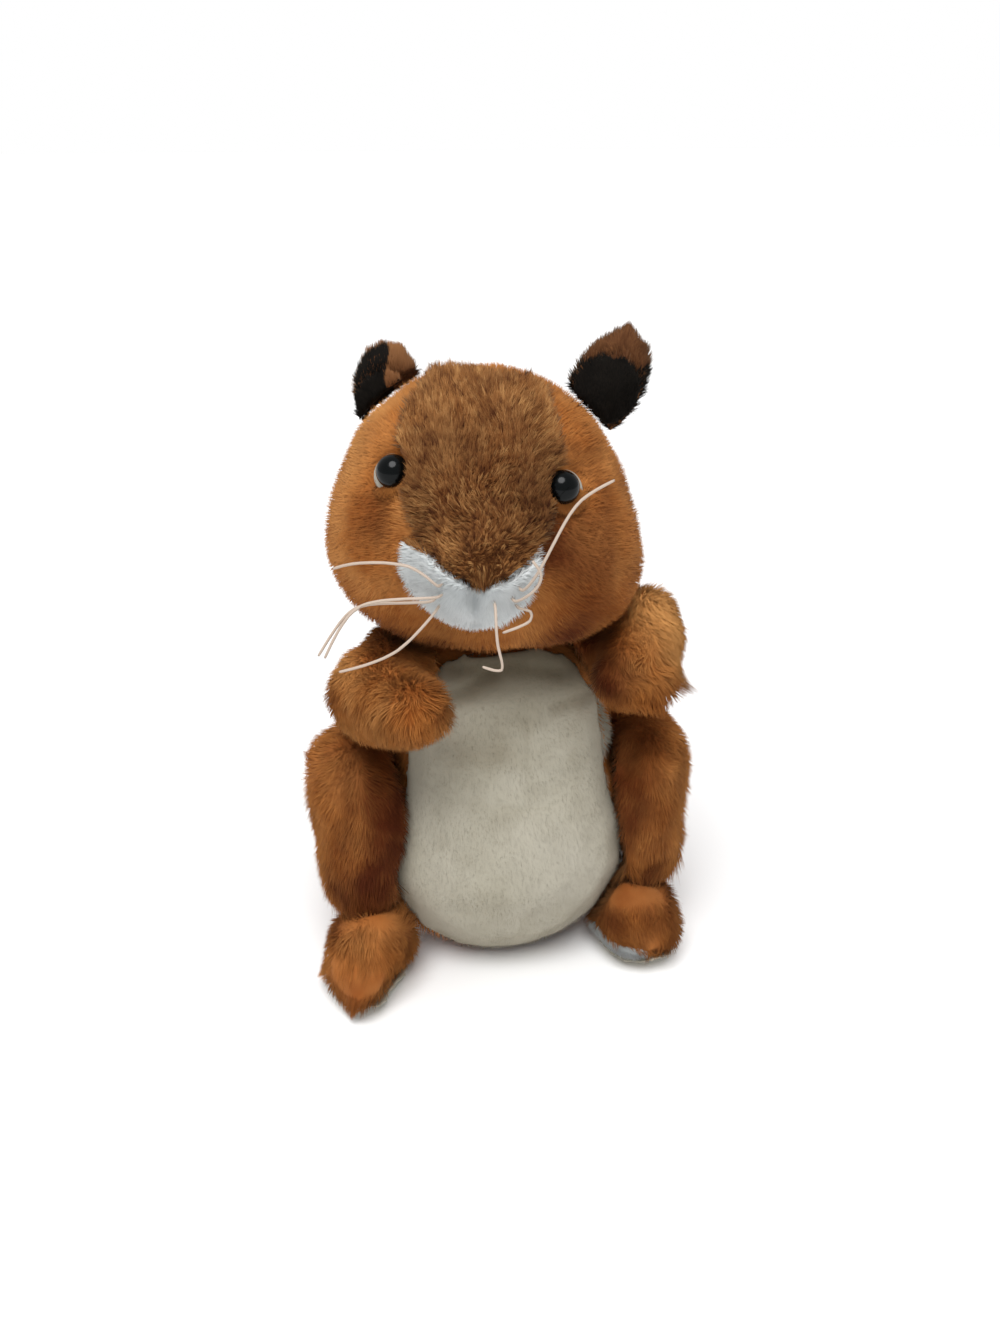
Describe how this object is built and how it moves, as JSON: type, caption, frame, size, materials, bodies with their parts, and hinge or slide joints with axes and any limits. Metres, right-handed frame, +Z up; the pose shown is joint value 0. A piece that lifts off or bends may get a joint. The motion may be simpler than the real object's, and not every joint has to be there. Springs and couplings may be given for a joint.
{
  "type": "plush squirrel",
  "caption": "Sitting stuffed plush squirrel with raised paws, a cream belly panel, glossy safety eyes, stiff whiskers and a bushy tail; a soft toy that rests on its flat seat.",
  "frame": {"origin": "on the flat seat under the body, at floor level, in the body's middle", "axes": "+Z up from the seat to the crown; the squirrel faces -Y, and its own left side is on +X"},
  "size_m": [0.1373, 0.1363, 0.2161],
  "materials": {
    "plush_brown": "soft orange-brown plush pile",
    "plush_mottled": "longer brown plush with dark and light tips",
    "plush_white": "short white plush pile",
    "plush_cream": "short cream-grey plush pile",
    "plush_black": "short black plush pile",
    "felt_white": "matt off-white felt",
    "eye_plastic": "glossy black",
    "washer_plastic": "plain white moulding",
    "filament": "satin cream filament"
  },
  "bodies": {
    "root": {"head": "plush_brown", "face_blaze": "plush_mottled", "muzzle": "plush_white", "eye_right": "eye_plastic", "eye_left": "eye_plastic", "eye_white_right": "felt_white", "eye_white_left": "felt_white", "eye_washer_right": "washer_plastic", "eye_washer_left": "washer_plastic", "ear_right": "plush_brown", "ear_left": "plush_brown", "ear_lining_right": "plush_black", "ear_lining_left": "plush_black", "whisker_right_1": "filament", "whisker_right_2": "filament", "whisker_right_3": "filament", "whisker_right_4": "filament", "whisker_left_1": "filament", "whisker_left_2": "filament", "whisker_left_3": "filament", "whisker_left_4": "filament", "body": "plush_brown", "belly_panel": "plush_cream", "arm_right": "plush_brown", "arm_left": "plush_brown", "leg_right": "plush_brown", "leg_left": "plush_brown", "foot_right": "plush_brown", "foot_left": "plush_brown", "sole_right": "plush_cream", "sole_left": "plush_cream", "tail": "plush_brown"}
  },
  "joints": []
}
